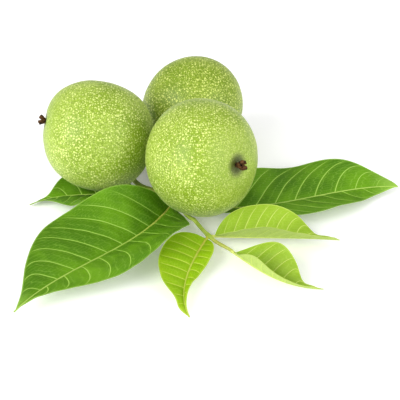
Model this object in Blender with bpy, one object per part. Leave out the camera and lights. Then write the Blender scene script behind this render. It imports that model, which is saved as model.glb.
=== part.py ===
"""Fruiting sprig of common walnut, lying as picked.

Three green walnuts in their husks sit round the tip of a short woody twig, each on a
stalk of its own. One compound leaf leaves the twig below them: a rachis with three pairs
of leaflets and a single one at its end, which pass under the nuts and spread out on the
surface. Nothing here moves.

Metres, +Z up. The sprig lies on the plane z = 0, and the origin is the middle of the
box round it, on that plane. While it is built, the origin is below the twig's tip.
Bearings, headings and tilts are in degrees: 0 is along +X, 90 is along +Y.
"""

import math
from dataclasses import dataclass

import bmesh
import bpy
import numpy as np
from mathutils import Vector
from mathutils.bvhtree import BVHTree

# ---------------------------------------------------------------- driving dimensions

CLEARANCE = 0.0004          # between pieces that touch or grow from each other
BLADE_THICKNESS = 0.0006    # a leaflet's blade, with its veins
NUT_REST = 0.0013           # height of a nut that lies on a leaflet
NUT_GAP = 0.0001            # between the front and the left nut at their waists
CONTACT_DEPTH = 0.0003      # how far the back nut is flattened by its own weight

TWIG_RADIUS = 0.0029
TWIG_TIP_RADIUS = 0.0036    # the swollen tip that carries the fruit stalks
TWIG_SWELLS_AT = 2 / 3      # share of the route where the twig starts to swell
TWIG_CAP_TURNS = (30, 60, 80)       # rings of its rounded tip, in degrees
TWIG_ROUTE = ((-0.0265, 0.0405, 0.0030), (-0.0165, 0.0255, 0.0033),
              (-0.0080, 0.0115, 0.0055), (0.0000, 0.0000, 0.0095))
STALK_START_RADIUS = 0.0010
STALK_END_RADIUS = 0.0019
STALK_BEND = 0.12           # share of a stalk's span that runs straight into its nut

RACHIS_RADIUS = 0.0010
RACHIS_TIP_RADIUS = 0.0006
PETIOLE_JOINT = 0.62        # where the leaf's stalk grows, as a share of the twig's route
PETIOLE_START = (205, -25)  # heading and tilt of the leaf's stalk as it leaves the twig
PETIOLE_ROUTE = ((-0.0150, 0.0060, 0.0014), (-0.0120, -0.0030, 0.0013))
FIRST_PAIR = (-0.0065, -0.0095, 0.0018)    # where the lowest pair of leaflets grows
INTERNODES = (                              # length, heading, height at its end
    (0.0129, -35.5, 0.0018),
    (0.0322, -66.2, 0.0036),
    (0.0127, -47.5, 0.0030),
)
PETIOLULE = 0.0012          # the bare foot of a full-grown leaflet's midrib
YOUNG_PETIOLULE = 0.0004
PETIOLULE_HALF_WIDTH = 0.0006
FOOT_ROOM = 0.0007          # between the rachis and the foot of a midrib
TIP_HALF_WIDTH = 0.0003
WAIST_SPREAD = 0.09         # share of a blade's length over which its waist fades

STIGMA_LENGTH = 0.0034
STIGMA_RADIUS = 0.0014
STIGMA_FLARE = (0.65, 1.10)         # width at its foot and at its end, as shares of that
STIGMA_LOBES = 0.30                 # how far the two lobes stand out from round
BLOSSOM_DIMPLE = (0.0009, 0.0026)   # depth and radius round the stigma
STALK_DIMPLE = (0.0012, 0.0045)     # depth and radius round the stalk


@dataclass(frozen=True)
class Husk:
    """The size and lie of one walnut in its husk.

    tip_room is the distance in plan from its flank to the twig's tip. heading and tilt
    point its axis to the blossom end. fullness is the exponent of the superellipse on
    the blossom half and on the stalk half: 2 is an ellipse, more is squarer. lean moves
    the blossom end up and sideways across the axis. swell is an uneven shoulder: its
    height and the heading and tilt that it faces.
    """

    half_length: float
    half_width: float
    tip_room: float
    heading: float
    tilt: float
    fullness: tuple
    lean: tuple
    swell: tuple
    rest: float


FRONT_BEARING = -58.5       # of the front nut and of the back nut, from the twig's tip
BACK_BEARING = 68.5
SWELL_SPREAD = 30.0
HUSKS = {
    "front": Husk(0.0213, 0.0225, 0.0044, -42, 13, (2.4, 2.1), (0.0006, 0.0025),
                  (0.0, 0, 0), NUT_REST),
    "left": Husk(0.0217, 0.0215, 0.0049, 181, 18, (2.2, 2.2), (0.0006, -0.0007),
                 (0.0014, 157, 36), NUT_REST),
    "back": Husk(0.0212, 0.0205, 0.0095, 68, 8, (1.9, 2.1), (0.0015, 0.0015),
                 (0.0, 0, 0), 0.0),
}


@dataclass(frozen=True)
class Half:
    """One side of a leaflet's blade, from its midrib to its margin.

    reach is the greatest width, at a / (a + b) of the length, and belly is (a, b).
    lift is the angle above the level at the foot, the middle and the tip. wave is the
    height, the number and the phase of the waves along the margin. waist is where the
    blade narrows into its drawn-out tip: the share of its width lost, and the place.
    """

    reach: float
    belly: tuple
    lift: tuple
    wave: tuple
    waist: tuple = (0.0, 0.8)


@dataclass(frozen=True)
class Leaflet:
    """One leaflet: its heading and pitch at the foot, the middle and the tip."""

    node: int
    length: float
    heading: tuple
    pitch: tuple
    left: Half
    right: Half
    petiolule: float = PETIOLULE


LEAFLETS = {
    "low_left": Leaflet(
        0, 0.049, (193, 184, 225), (-7, 0, 0),
        left=Half(0.0175, (1.2, 1.0), (8, 19, 31), (0.0030, 1.5, -0.36), (0.5, 0.86)),
        right=Half(0.0185, (1.2, 2.1), (11, 5, 17), (0.0020, 1.5, 0.24), (0.5, 0.82))),
    "low_right": Leaflet(
        0, 0.046, (46, 34, 22), (-4, 0, 2),
        left=Half(0.0115, (0.9, 1.5), (4, 8, 10), (0.0008, 1.5, 0.0)),
        right=Half(0.0115, (0.9, 1.5), (4, 8, 10), (0.0008, 1.5, 0.5))),
    "big_left": Leaflet(
        1, 0.097, (249, 232, 245), (-8, 6, 0),
        left=Half(0.0256, (1.1, 1.9), (1, 24, -40), (0.0020, 2.0, -0.43), (0.3, 0.90)),
        right=Half(0.0255, (0.8, 1.3), (66, 21, 23), (-0.0030, 1.5, 0.66), (0.2, 0.93))),
    "big_right": Leaflet(
        1, 0.091, (-25, 13, -1), (-8, 4, -1),
        left=Half(0.0188, (0.8, 0.8), (3, 22, 25), (0.0026, 2.0, -0.42), (0.2, 0.94)),
        right=Half(0.0178, (1.5, 1.4), (-15, 20, -35), (-0.0020, 2.0, 0.23),
                   (0.2, 0.92))),
    "young_left": Leaflet(
        2, 0.051, (250, 259, 288), (0, -2, 2),
        left=Half(0.0064, (0.7, 1.9), (2, 25, 58), (-0.0014, 1.5, 0.53)),
        right=Half(0.0127, (0.5, 1.1), (23, 24, 15), (0.0012, 1.5, 0.26), (0.4, 0.80)),
        petiolule=YOUNG_PETIOLULE),
    "young_right": Leaflet(
        2, 0.049, (-4, -1, -7), (0, -1, 0),
        left=Half(0.0134, (0.7, 1.3), (41, 36, 29), (0.0010, 1.5, 0.37), (0.55, 0.82)),
        right=Half(0.0134, (0.7, 0.9), (46, 45, 48), (0.0011, 1.5, -0.34),
                   (0.3, 0.86)),
        petiolule=YOUNG_PETIOLULE),
    "terminal": Leaflet(
        3, 0.0407, (-48, -42, -8), (-6, 0, 5),
        left=Half(0.0120, (1.2, 1.7), (40, 45, 28), (0.0002, 1.5, -0.26), (0.55, 0.83)),
        right=Half(0.0109, (0.8, 0.9), (51, 53, 47), (0.0019, 1.5, -0.37),
                   (0.35, 0.87)),
        petiolule=YOUNG_PETIOLULE),
}

PASSES_UNDER = {"young_left": "big_left"}   # a leaflet, and the one that lies over it

BLADE_ROWS = 22             # grid of a blade along its midrib, and across one half
BLADE_COLUMNS = 4
ROW_CROWDING = 1.1          # above 1, a blade's rows stand closer at its foot
MIDRIB_STEPS = 240          # short steps that a midrib is added up from
HUSK_SEGMENTS = 28
HUSK_RINGS = 18
STIGMA_SEGMENTS = 16
STIGMA_RINGS = 10
ROUTE_STEPS = 6             # between two points of the twig's or the rachis's route
STALK_POINTS = 8
TWIG_SIDES = 3              # curve bevel steps: a tube has 2 x (steps + 2) sides
RACHIS_SIDES = 2

COLOURS = {                 # base colour and roughness of each material
    "husk": ((0.45, 0.62, 0.12), 0.50),
    "blade": ((0.16, 0.36, 0.03), 0.45),
    "young_blade": ((0.36, 0.55, 0.06), 0.45),
    "green_stem": ((0.36, 0.45, 0.11), 0.50),
    "bark": ((0.17, 0.13, 0.07), 0.80),
    "stigma": ((0.06, 0.03, 0.015), 0.90),
}


# ---------------------------------------------------------------- scene and materials

def clear_scene():
    for obj in list(bpy.data.objects):
        bpy.data.objects.remove(obj, do_unlink=True)


def make_materials():
    made = {}
    for name, (colour, roughness) in COLOURS.items():
        material = bpy.data.materials.new(name)
        material.use_nodes = True
        shader = material.node_tree.nodes["Principled BSDF"]
        shader.inputs["Base Color"].default_value = (*colour, 1.0)
        shader.inputs["Roughness"].default_value = roughness
        shader.inputs["Metallic"].default_value = 0.0
        made[name] = material
    return made


def add_object(name, data, material):
    obj = bpy.data.objects.new(name, data)
    data.materials.append(material)
    bpy.context.scene.collection.objects.link(obj)
    return obj


# ---------------------------------------------------------------- directions and curves

def direction(heading, tilt=0.0):
    """The unit vector at a heading in plan and a tilt above the level."""
    h, t = np.broadcast_arrays(np.radians(heading), np.radians(tilt))
    return np.stack([np.cos(t) * np.cos(h), np.cos(t) * np.sin(h), np.sin(t)], axis=-1)


def through(u, start, middle, end):
    """The parabola that takes these three values at u = 0, 0.5 and 1."""
    return (start * (1 - u) * (1 - 2 * u) + middle * 4 * u * (1 - u)
            + end * u * (2 * u - 1))


def smooth_route(points, steps):
    """A Catmull-Rom curve through the points, with this many steps between each two."""
    points = np.array(points, float)
    ends = np.vstack([2 * points[0] - points[1], points, 2 * points[-1] - points[-2]])
    u = np.linspace(0, 1, steps, endpoint=False)[:, None]
    runs = []
    for a, b, c, d in zip(ends, ends[1:], ends[2:], ends[3:]):
        runs.append(0.5 * (2 * b + (c - a) * u + (2 * a - 5 * b + 4 * c - d) * u ** 2
                           + (3 * b - a - 3 * c + d) * u ** 3))
    return np.vstack([*runs, points[-1:]])


def add_tube(name, points, radii, material, sides_step):
    """A round solid along the points, with a radius at each and flat ends."""
    curve = bpy.data.curves.new(name, "CURVE")
    curve.dimensions = "3D"
    curve.bevel_depth = 1.0
    curve.bevel_resolution = sides_step
    curve.use_fill_caps = True
    spline = curve.splines.new("POLY")
    spline.points.add(len(points) - 1)
    for place, point, radius in zip(spline.points, points, radii):
        place.co = (*point, 1.0)
        place.radius = radius
    return add_object(name, curve, material)


# ---------------------------------------------------------------- the nuts

class Nut:
    """One walnut in its husk, with its place worked out."""

    def __init__(self, husk, plan):
        self.husk = husk
        self.axis = direction(husk.heading, husk.tilt)
        rise = np.array([0.0, 0.0, 1.0]) - self.axis * self.axis[2]
        self.up = rise / np.linalg.norm(rise)
        self.side = np.cross(self.axis, self.up)
        self.centre = np.array([*plan, 0.0])
        polar, azimuth = np.meshgrid(np.radians(np.arange(0, 181, 3)),
                                     np.radians(np.arange(0, 360, 5)))
        lowest = self.surface(polar, azimuth)[..., 2].min()
        self.centre[2] = husk.rest - lowest
        if husk.rest == 0:
            self.centre[2] -= CONTACT_DEPTH

    def swell(self, offsets):
        """The factor by which the uneven shoulder grows the husk in each direction."""
        height, heading, tilt = self.husk.swell
        towards = direction(heading, tilt)
        lengths = np.linalg.norm(offsets, axis=-1) + 1e-9
        angle = np.degrees(np.arccos(np.clip(offsets @ towards / lengths, -1, 1)))
        return 1 + height / self.husk.half_width * np.exp(-(angle / SWELL_SPREAD) ** 2)

    def surface(self, polar, azimuth):
        """Points of the husk: polar is 0 at the blossom end and pi at the stalk.

        The outline is the superellipse |along / half_length| ^ f + |out / half_width| ^ f
        = 1, turned round the axis, with a dimple at each end, then leant and swollen.
        """
        husk = self.husk
        fullness = np.where(polar < math.pi / 2, *husk.fullness)
        along = husk.half_length * np.sign(np.cos(polar)) * (
            np.abs(np.cos(polar)) ** (2 / fullness))
        out = husk.half_width * np.abs(np.sin(polar)) ** (2 / fullness)
        for end, (depth, radius) in ((1, BLOSSOM_DIMPLE), (-1, STALK_DIMPLE)):
            dimple = depth * np.exp(-(out / radius) ** 2) * (np.sign(np.cos(polar)) == end)
            along = along - end * dimple
        share = along / husk.half_length
        up = out * np.cos(azimuth) + husk.lean[0] * share
        side = out * np.sin(azimuth) + husk.lean[1] * share
        offsets = (along[..., None] * self.axis + up[..., None] * self.up
                   + side[..., None] * self.side)
        return self.centre + offsets * self.swell(offsets)[..., None]

    def end_point(self, polar):
        return self.surface(np.array(polar), np.array(0.0))

    def push_out(self, points, room):
        """Moves points that are nearer the husk than room straight out from its centre."""
        husk = self.husk
        offsets = points - self.centre
        along = offsets @ self.axis
        share = np.clip(along / husk.half_length, -1, 1)
        up = offsets @ self.up - husk.lean[0] * share
        side = offsets @ self.side - husk.lean[1] * share
        fullness = np.where(along > 0, *husk.fullness)
        size = (np.abs(along / husk.half_length) ** fullness
                + (np.hypot(up, side) / husk.half_width) ** fullness) ** (1 / fullness)
        distance = np.linalg.norm(offsets, axis=-1)
        least = distance / size * self.swell(offsets) + room
        factor = np.maximum(1, least / distance)
        return self.centre + offsets * factor[..., None]


def place_nuts():
    """The front and back nut stand at their bearings; the left one touches the front."""
    front, left, back = (HUSKS[name] for name in ("front", "left", "back"))
    reach = {name: husk.half_width + husk.tip_room for name, husk in HUSKS.items()}
    apart = front.half_width + left.half_width + NUT_GAP
    opening = math.degrees(math.acos(
        (reach["front"] ** 2 + reach["left"] ** 2 - apart ** 2)
        / (2 * reach["front"] * reach["left"])))
    bearings = {"front": FRONT_BEARING, "left": FRONT_BEARING - opening,
                "back": BACK_BEARING}
    return {name: Nut(husk, (reach[name] * direction(bearings[name]))[:2])
            for name, husk in HUSKS.items()}


def add_husk(name, nut, material):
    """A ball of rings round the nut's axis, each vertex laid on the husk's surface."""
    mesh = bpy.data.meshes.new(name)
    ball = bmesh.new()
    bmesh.ops.create_uvsphere(ball, u_segments=HUSK_SEGMENTS, v_segments=HUSK_RINGS,
                              radius=1.0)
    ball.to_mesh(mesh)
    ball.free()
    unit = np.empty(len(mesh.vertices) * 3, np.float32)
    mesh.vertices.foreach_get("co", unit)
    x, y, z = unit.reshape(-1, 3).astype(float).T
    points = nut.surface(np.arccos(np.clip(z, -1, 1)), np.arctan2(y, x))
    mesh.vertices.foreach_set("co", points.astype(np.float32).ravel())
    if nut.husk.rest == 0:
        cut_contact_face(mesh)
    mesh.shade_smooth()
    return add_object(name, mesh, material)


def cut_contact_face(mesh):
    """Cuts off what lies below the plane z = 0, and closes the cut with one flat face."""
    solid = bmesh.new()
    solid.from_mesh(mesh)
    cut = bmesh.ops.bisect_plane(
        solid, geom=[*solid.verts, *solid.edges, *solid.faces], plane_co=(0, 0, 0),
        plane_no=(0, 0, 1), clear_inner=True)
    rim = [piece for piece in cut["geom_cut"] if isinstance(piece, bmesh.types.BMEdge)]
    bmesh.ops.holes_fill(solid, edges=rim)
    bmesh.ops.recalc_face_normals(solid, faces=solid.faces)
    solid.to_mesh(mesh)
    solid.free()


def add_stigma(name, nut, material):
    """The dried stigma: a short stub that flares into two lobes at its end."""
    mesh = bpy.data.meshes.new(name)
    ball = bmesh.new()
    bmesh.ops.create_uvsphere(ball, u_segments=STIGMA_SEGMENTS, v_segments=STIGMA_RINGS,
                              radius=1.0)
    ball.to_mesh(mesh)
    ball.free()
    unit = np.empty(len(mesh.vertices) * 3, np.float32)
    mesh.vertices.foreach_get("co", unit)
    x, y, z = unit.reshape(-1, 3).astype(float).T
    height = (1 + z) / 2
    azimuth = np.arctan2(y, x)
    foot, end = STIGMA_FLARE
    radius = STIGMA_RADIUS * np.sqrt(np.hypot(x, y)) * (foot + (end - foot) * height)
    radius *= 1 + STIGMA_LOBES * height * np.cos(2 * azimuth)
    base = nut.end_point(0.0) + CLEARANCE * nut.axis
    points = (base + np.outer(height * STIGMA_LENGTH, nut.axis)
              + np.outer(radius * np.cos(azimuth), nut.up)
              + np.outer(radius * np.sin(azimuth), nut.side))
    mesh.vertices.foreach_set("co", points.astype(np.float32).ravel())
    mesh.shade_smooth()
    return add_object(name, mesh, material)


# ---------------------------------------------------------------- twig, stalks, rachis

def add_twig(material):
    """The woody twig: cut across at its far end, swollen and rounded off at its tip."""
    points = smooth_route(TWIG_ROUTE, ROUTE_STEPS)
    share = np.linspace(0, 1, len(points))
    swollen = np.clip((share - TWIG_SWELLS_AT) / (1 - TWIG_SWELLS_AT), 0, 1)
    radii = TWIG_RADIUS + (TWIG_TIP_RADIUS - TWIG_RADIUS) * swollen
    run = points[-1] - points[-2]
    run /= np.linalg.norm(run)
    round_off = np.radians(TWIG_CAP_TURNS)
    caps = points[-1] + np.outer(np.sin(round_off) * TWIG_TIP_RADIUS, run)
    points = np.vstack([points, caps])
    radii = np.append(radii, TWIG_TIP_RADIUS * np.cos(round_off))
    return add_tube("twig", points, radii, material, TWIG_SIDES)


def add_stalk(name, nut, material):
    """A fruit stalk: it leaves the twig's tip and meets the nut along the nut's axis."""
    tip = np.array(TWIG_ROUTE[-1])
    depth, radius = STALK_DIMPLE
    slope = math.hypot(*nut.husk.lean) / nut.husk.half_length
    seat = (CLEARANCE + depth * (1 - math.exp(-(STALK_END_RADIUS / radius) ** 2))
            + 2 * slope * STALK_END_RADIUS)
    end = nut.end_point(math.pi) - seat * nut.axis
    approach = end - STALK_BEND * np.linalg.norm(end - tip) * nut.axis
    away = (approach - tip) / np.linalg.norm(approach - tip)
    start = tip + (TWIG_TIP_RADIUS + 2 * CLEARANCE) * away
    u = np.linspace(0, 1, STALK_POINTS)[:, None]
    points = (1 - u) ** 2 * start + 2 * u * (1 - u) * approach + u ** 2 * end
    radii = STALK_START_RADIUS + (STALK_END_RADIUS - STALK_START_RADIUS) * u[:, 0]
    return add_tube(name, points, radii, material, TWIG_SIDES)


def rachis_nodes():
    """The places where leaflets grow, from the lowest pair to the terminal one."""
    nodes = [np.array(FIRST_PAIR)]
    for length, heading, height in INTERNODES:
        place = nodes[-1] + length * direction(heading)
        place[2] = height
        nodes.append(place)
    return nodes


def rachis_line(nodes, nuts):
    """The middle of the leaf's main stalk, from the twig to the terminal leaflet."""
    twig = smooth_route(TWIG_ROUTE, ROUTE_STEPS)
    joint = twig[round(PETIOLE_JOINT * (len(twig) - 1))]
    start = joint + (TWIG_RADIUS + 2 * CLEARANCE) * direction(*PETIOLE_START)
    points = smooth_route([start, *PETIOLE_ROUTE, *nodes], ROUTE_STEPS)
    return press(points, nuts, RACHIS_RADIUS + CLEARANCE)


def rachis_radii(line):
    """Full size along its first half, then tapering to its tip."""
    share = np.clip(np.linspace(-1, 1, len(line)), 0, 1)
    return RACHIS_RADIUS + (RACHIS_TIP_RADIUS - RACHIS_RADIUS) * share


# ---------------------------------------------------------------- leaflets

def press(points, nuts, room):
    """Keeps points this far from the nuts and above the plane the sprig lies on."""
    for nut in nuts.values():
        points = nut.push_out(points, room)
    return points


def half_width(half, u):
    """The blade's reach from the midrib: u ^ a (1 - u) ^ b, scaled to peak at reach,

    and narrowed at the waist by 1 - share lost x exp(-(distance / spread) squared).
    """
    a, b = half.belly
    peak = a / (a + b)
    u = np.clip(u, 0, 1)
    lost, place = half.waist
    narrowed = 1 - lost * np.exp(-((u - place) / WAIST_SPREAD) ** 2)
    return half.reach * u ** a * (1 - u) ** b / (peak ** a * (1 - peak) ** b) * narrowed


def foot_start(path, rachis):
    """The share of a midrib, from its node, that lies inside the rachis's own width."""
    away = np.linalg.norm(path[:, None] - rachis[None], axis=-1)
    if np.linalg.norm(path[0] - rachis[-1]) < CLEARANCE:
        clear = away[:, -1] > FOOT_ROOM
    else:
        room = rachis_radii(rachis) + PETIOLULE_HALF_WIDTH + FOOT_ROOM
        clear = (away > room).all(axis=1)
    return np.argmax(clear) / (len(path) - 1)


def blade_grid(leaflet, foot, rachis, nuts):
    """Middle surface of a blade: rows along the midrib, columns from right to left."""
    fine = np.linspace(0, 1, MIDRIB_STEPS + 1)
    headings = through(fine, *leaflet.heading)
    pitches = through(fine, *leaflet.pitch)
    steps = direction(headings, pitches)
    path = np.cumsum((steps[1:] + steps[:-1]) / 2, axis=0) * leaflet.length / MIDRIB_STEPS
    path = foot + np.vstack([np.zeros(3), path])

    first = foot_start(path, rachis)
    bare = first + leaflet.petiolule / leaflet.length
    rows = np.linspace(0, 1, BLADE_ROWS - 1) ** ROW_CROWDING
    u = np.append(first, bare + (1 - bare) * rows)
    midrib = np.stack([np.interp(u, fine, path[:, k]) for k in range(3)], axis=-1)
    heading = through(u, *leaflet.heading)
    along = direction(heading, through(u, *leaflet.pitch))
    across = direction(heading + 90)
    normal = np.cross(along, across)

    blade_u = (u - bare) / (1 - bare)
    least = PETIOLULE_HALF_WIDTH + (TIP_HALF_WIDTH - PETIOLULE_HALF_WIDTH) * u
    columns = []
    for v in np.linspace(-1, 1, 2 * BLADE_COLUMNS + 1):
        half = leaflet.left if v > 0 else leaflet.right
        reach = np.maximum(half_width(half, blade_u), least) * v
        lift = np.radians(through(u, *half.lift))
        height, crests, phase = half.wave
        wave = height * np.sin(2 * math.pi * (crests * u + phase)) * np.sin(math.pi * u)
        rise = np.abs(reach) * np.sin(lift) + wave * v * v
        columns.append(midrib + across * (reach * np.cos(lift))[:, None]
                       + normal * rise[:, None])
    grid = press(np.stack(columns, axis=1), nuts, BLADE_THICKNESS / 2 + CLEARANCE)
    grid[..., 2] = np.maximum(grid[..., 2], BLADE_THICKNESS / 2)
    return grid


def grid_quads(grid):
    rows, columns = grid.shape[:2]
    index = np.arange(rows * columns).reshape(rows, columns)
    quads = np.stack([index[:-1, :-1], index[1:, :-1], index[1:, 1:], index[:-1, 1:]],
                     axis=-1)
    return quads.reshape(-1, 4).tolist()


def hold_under(grid, cover):
    """Lowers what would stand nearer than CLEARANCE below the blade that covers it."""
    sheet = BVHTree.FromPolygons(cover.reshape(-1, 3).tolist(), grid_quads(cover))
    points = grid.reshape(-1, 3)
    for point in points:
        hit = sheet.ray_cast(Vector((*point[:2], 0.0)), Vector((0.0, 0.0, 1.0)))[0]
        if hit:
            point[2] = min(point[2], hit.z - BLADE_THICKNESS - CLEARANCE)
    return points.reshape(grid.shape)


def add_leaflet(name, grid, material):
    """A blade as one sheet of quads, given its thickness by a Solidify modifier."""
    mesh = bpy.data.meshes.new(name)
    mesh.from_pydata(grid.reshape(-1, 3).tolist(), [], grid_quads(grid))
    mesh.shade_smooth()
    obj = add_object(name, mesh, material)
    solidify = obj.modifiers.new("thickness", "SOLIDIFY")
    solidify.thickness = BLADE_THICKNESS
    solidify.offset = 0.0
    return obj


# ---------------------------------------------------------------- assembly

def centre_on_base(objects):
    """Moves every object by one step, so that the origin is mid-box on the plane."""
    bpy.context.view_layer.update()
    graph = bpy.context.evaluated_depsgraph_get()
    corners = []
    for obj in objects:
        mesh = obj.evaluated_get(graph).to_mesh()
        corners += [obj.matrix_world @ vertex.co for vertex in mesh.vertices]
    corners = np.array(corners)
    low, high = corners.min(axis=0), corners.max(axis=0)
    shift = Vector((-(low[0] + high[0]) / 2, -(low[1] + high[1]) / 2, -low[2]))
    for obj in objects:
        obj.location = shift


def main():
    clear_scene()
    materials = make_materials()
    nuts = place_nuts()
    nodes = rachis_nodes()
    rachis = rachis_line(nodes, nuts)
    stem = add_tube("rachis", rachis, rachis_radii(rachis), materials["green_stem"],
                    RACHIS_SIDES)
    objects = [add_twig(materials["bark"]), stem]
    for name, nut in nuts.items():
        objects += [
            add_husk(f"nut_{name}", nut, materials["husk"]),
            add_stigma(f"stigma_{name}", nut, materials["stigma"]),
            add_stalk(f"stalk_{name}", nut, materials["green_stem"]),
        ]
    grids = {name: blade_grid(leaflet, nodes[leaflet.node], rachis, nuts)
             for name, leaflet in LEAFLETS.items()}
    for name, cover in PASSES_UNDER.items():
        grids[name] = hold_under(grids[name], grids[cover])
    for name, grid in grids.items():
        young = name.startswith(("young", "terminal"))
        material = materials["young_blade" if young else "blade"]
        objects.append(add_leaflet(f"leaflet_{name}", grid, material))
    centre_on_base(objects)


main()
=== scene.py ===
"""Fruiting sprig of common walnut, lying as picked on a pale table: its finished look.

Three green walnuts in their husks sit round the tip of a woody twig, with one compound
leaf of seven leaflets spread under and beside them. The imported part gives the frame, and
every piece here stands for one of its nodes or grows from one. Nothing moves, so every
piece rides on the body "root". Metres, +Z up. Headings and tilts are in degrees.
"""

import math
from typing import NamedTuple

import bpy
import numpy as np
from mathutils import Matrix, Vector


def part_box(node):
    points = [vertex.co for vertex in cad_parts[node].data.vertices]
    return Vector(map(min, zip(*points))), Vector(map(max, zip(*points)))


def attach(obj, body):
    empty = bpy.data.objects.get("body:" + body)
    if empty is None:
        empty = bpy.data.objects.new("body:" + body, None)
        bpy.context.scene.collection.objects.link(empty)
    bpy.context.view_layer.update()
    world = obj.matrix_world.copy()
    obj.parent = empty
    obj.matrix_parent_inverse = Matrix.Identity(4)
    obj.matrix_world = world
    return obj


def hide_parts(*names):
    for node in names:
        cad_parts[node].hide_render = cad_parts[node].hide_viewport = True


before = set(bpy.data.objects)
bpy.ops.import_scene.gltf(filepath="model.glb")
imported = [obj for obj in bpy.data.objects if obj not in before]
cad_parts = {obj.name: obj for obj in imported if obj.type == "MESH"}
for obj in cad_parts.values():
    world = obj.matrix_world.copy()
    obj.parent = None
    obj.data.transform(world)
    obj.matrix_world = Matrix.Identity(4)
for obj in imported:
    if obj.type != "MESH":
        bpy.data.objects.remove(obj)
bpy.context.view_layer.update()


# ---------------------------------------------------------------- table, light, camera
# The sprig lies on a matt white light table in a bright studio: one wide soft lamp high
# on the left, a weaker one on the right, and white walls all round. The camera looks
# down at it from the front, aimed by the place of the front nut.

TABLE_SIDE, TABLE_GLOW = 6.0, 0.20
CAMERA_FROM_FRONT_NUT = (-0.000641, -0.393073, 0.217308)
CAMERA_DOWN = 31.0              # degrees below the level
CAMERA_NEAR = 0.01              # nothing nearer than this is seen
SENSOR, LENS = 36.0, 105.85     # millimetres
WALL_BRIGHTNESS, WALL_IN_GLOSS = 0.74, 0.20     # the walls are flagged off the gloss
LAMP_SIDE = 0.9
KEY_PLACE, KEY_POWER = (-0.84, -0.68, 0.66), 14.5       # metres, watts
FILL_PLACE, FILL_POWER = (0.90, -0.60, 0.45), 6.5


def node(tree, kind, inputs=(), **settings):
    """Adds a node: settings are its own properties, inputs are values or sockets."""
    made = tree.nodes.new(kind)
    for name, value in settings.items():
        setattr(made, name, value)
    for name, value in dict(inputs).items():
        if isinstance(value, bpy.types.NodeSocket):
            tree.links.new(value, made.inputs[name])
        else:
            made.inputs[name].default_value = value
    return made


def new_material(name, roughness, **values):
    """A material with a Principled shader, and its node tree."""
    material = bpy.data.materials.new(name)
    material.use_nodes = True
    shader = material.node_tree.nodes["Principled BSDF"]
    shader.inputs["Roughness"].default_value = roughness
    for socket, value in values.items():
        shader.inputs[socket.replace("_", " ")].default_value = value
    return material, material.node_tree, shader


def mix(tree, factor, first, second):
    """The colour this far from the first to the second."""
    made = node(tree, "ShaderNodeMix", {0: factor, 6: first, 7: second}, data_type="RGBA")
    return made.outputs[2]


def step(tree, value, low, high, bottom=0.0, top=1.0):
    """A smooth rise from bottom to top while the value goes from low to high."""
    made = node(tree, "ShaderNodeMapRange", {0: value, 1: low, 2: high, 3: bottom, 4: top},
                interpolation_type="SMOOTHSTEP")
    return made.outputs[0]


def noise(tree, vector, scale, detail=3.0, roughness=0.55):
    made = node(tree, "ShaderNodeTexNoise", {"Vector": vector, "Scale": scale,
                                             "Detail": detail, "Roughness": roughness})
    return made.outputs["Fac"]


def object_coordinates(tree):
    return node(tree, "ShaderNodeTexCoord").outputs["Object"]


def link_shader(tree, shader, **values):
    """Feeds the shader's sockets, each named with _ for a space."""
    for socket, value in values.items():
        tree.links.new(value, shader.inputs[socket.replace("_", " ")])


def add_lamp(name, place, aim, power):
    """A square soft lamp that faces the aim."""
    light = bpy.data.lights.new(name, "AREA")
    light.size = LAMP_SIDE
    light.energy = power
    lamp = bpy.data.objects.new(name, light)
    lamp.location = place
    towards = Vector(aim) - Vector(place)
    lamp.rotation_euler = towards.to_track_quat("-Z", "Y").to_euler()
    bpy.context.scene.collection.objects.link(lamp)


half_table = TABLE_SIDE / 2
table_mesh = bpy.data.meshes.new("table")
table_mesh.from_pydata([(-half_table, -half_table, 0), (half_table, -half_table, 0),
                        (half_table, half_table, 0), (-half_table, half_table, 0)],
                       [], [(0, 1, 2, 3)])
table = bpy.data.objects.new("table", table_mesh)
bpy.context.scene.collection.objects.link(table)
white, tree, shader = new_material("white_table", 0.7, Emission_Strength=TABLE_GLOW)
grain = noise(tree, object_coordinates(tree), 900.0)
paint = mix(tree, grain, (0.90, 0.90, 0.90, 1.0), (0.93, 0.93, 0.93, 1.0))
link_shader(tree, shader, Base_Color=paint)
table_mesh.materials.append(white)

world = bpy.data.worlds.new("studio")
world.use_nodes = True
walls = world.node_tree.nodes["Background"]
walls.inputs["Color"].default_value = (1.0, 1.0, 1.0, 1.0)
in_gloss = node(world.node_tree, "ShaderNodeLightPath").outputs["Is Glossy Ray"]
brightness = step(world.node_tree, in_gloss, 0.0, 1.0, WALL_BRIGHTNESS, WALL_IN_GLOSS)
world.node_tree.links.new(brightness, walls.inputs["Strength"])
bpy.context.scene.world = world
bpy.context.scene.view_settings.view_transform = "Standard"

nut_low, nut_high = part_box("nut_front")
front_nut_middle = (nut_low + nut_high) / 2
add_lamp("key", KEY_PLACE, front_nut_middle, KEY_POWER)
add_lamp("fill", FILL_PLACE, front_nut_middle, FILL_POWER)

camera = bpy.data.objects.new("camera", bpy.data.cameras.new("camera"))
camera.data.sensor_width = SENSOR
camera.data.lens = LENS
camera.data.clip_start = CAMERA_NEAR
camera.location = front_nut_middle + Vector(CAMERA_FROM_FRONT_NUT)
camera.rotation_euler = (math.radians(90 - CAMERA_DOWN), 0, 0)
bpy.context.scene.collection.objects.link(camera)
bpy.context.scene.camera = camera


# ---------------------------------------------------------------- walnuts in their husks
# Three unripe walnuts, each in a smooth green fleshy husk dotted with pale raised
# breathing pores. The husk is a squarish oval of revolution, dented round the stigma and
# round the fruit stalk, and the front and the left nut touch at their waists.


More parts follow.
